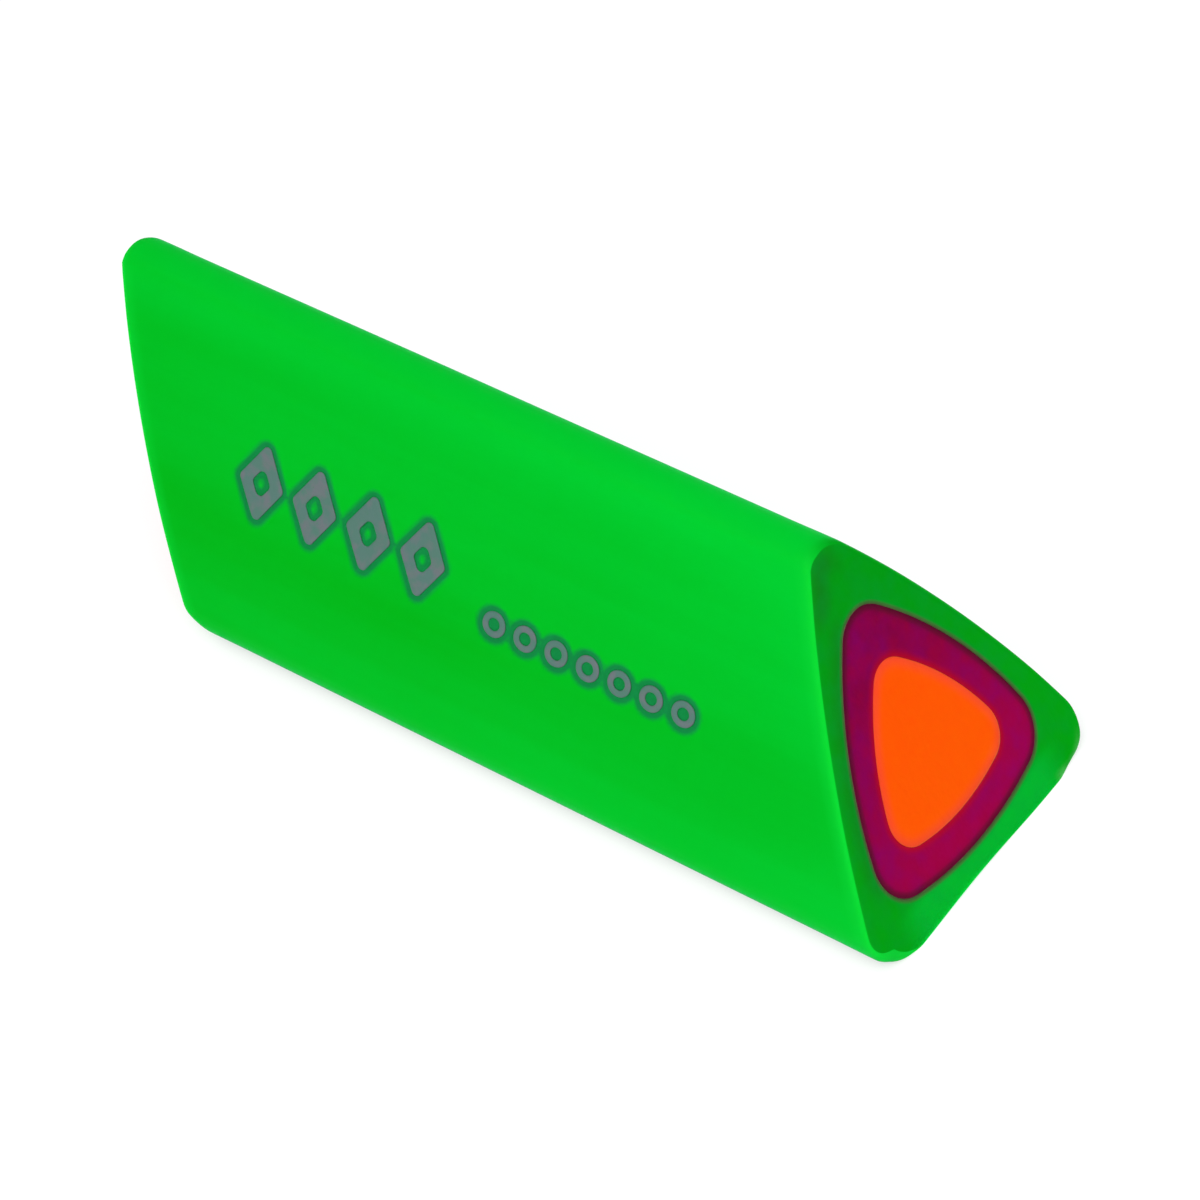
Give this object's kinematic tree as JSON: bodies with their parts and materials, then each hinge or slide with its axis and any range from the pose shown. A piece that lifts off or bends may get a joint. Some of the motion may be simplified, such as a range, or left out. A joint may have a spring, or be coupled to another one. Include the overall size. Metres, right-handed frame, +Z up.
{
  "type": "three-layer triangular eraser block",
  "caption": "Stubby triangular block of soft compound in bonded green, purple and orange layers, both ends cut on one slant, printed with plain grey marks on one side.",
  "frame": {"origin": "on the flat underside, midway between the two furthest points along X, in the block's plane of symmetry", "axes": "+X along the block towards the end whose cut faces up, +Z up to the ridge, -Y towards the printed side"},
  "size_m": [0.0504, 0.0176, 0.0166],
  "materials": {
    "green_compound": "smooth satin, faint lengthwise extrusion streaks",
    "purple_compound": "matte, knife-cut at the ends",
    "orange_compound": "matte, knife-cut at the ends",
    "grey_ink": "thin silver-grey printing ink, slightly uneven"
  },
  "bodies": {
    "root": {"outer_layer": "green_compound", "middle_layer": "purple_compound", "core": "orange_compound", "large_print": "grey_ink", "small_print": "grey_ink"}
  },
  "joints": []
}
